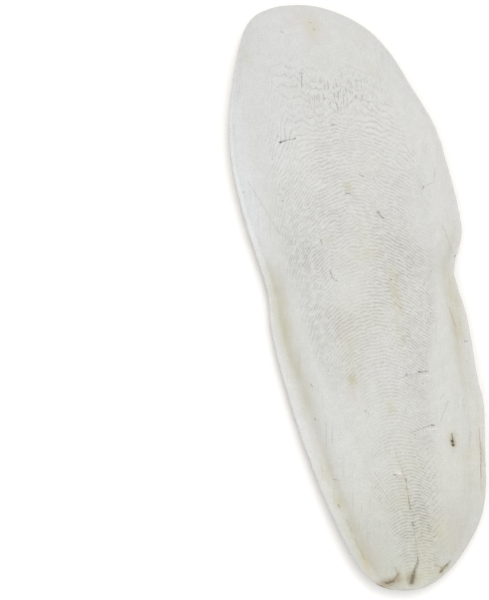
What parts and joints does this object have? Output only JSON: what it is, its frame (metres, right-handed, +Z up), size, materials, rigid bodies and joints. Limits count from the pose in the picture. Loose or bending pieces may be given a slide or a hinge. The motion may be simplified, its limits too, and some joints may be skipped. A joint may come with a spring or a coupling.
{
  "type": "cuttlebone",
  "caption": "Dry cuttlebone lying on its hard back, with a finely striped chalky belly, a thin flanged margin and a smooth head end.",
  "frame": {"origin": "on the resting plane, under the middle of the bone's box", "axes": "+X to the bone's right, +Y towards the head end, +Z up out of the striped belly"},
  "size_m": [0.0711, 0.2, 0.0224],
  "materials": {
    "chalky_bone": null
  },
  "bodies": {
    "root": {"cuttlebone": "chalky_bone"}
  },
  "joints": []
}
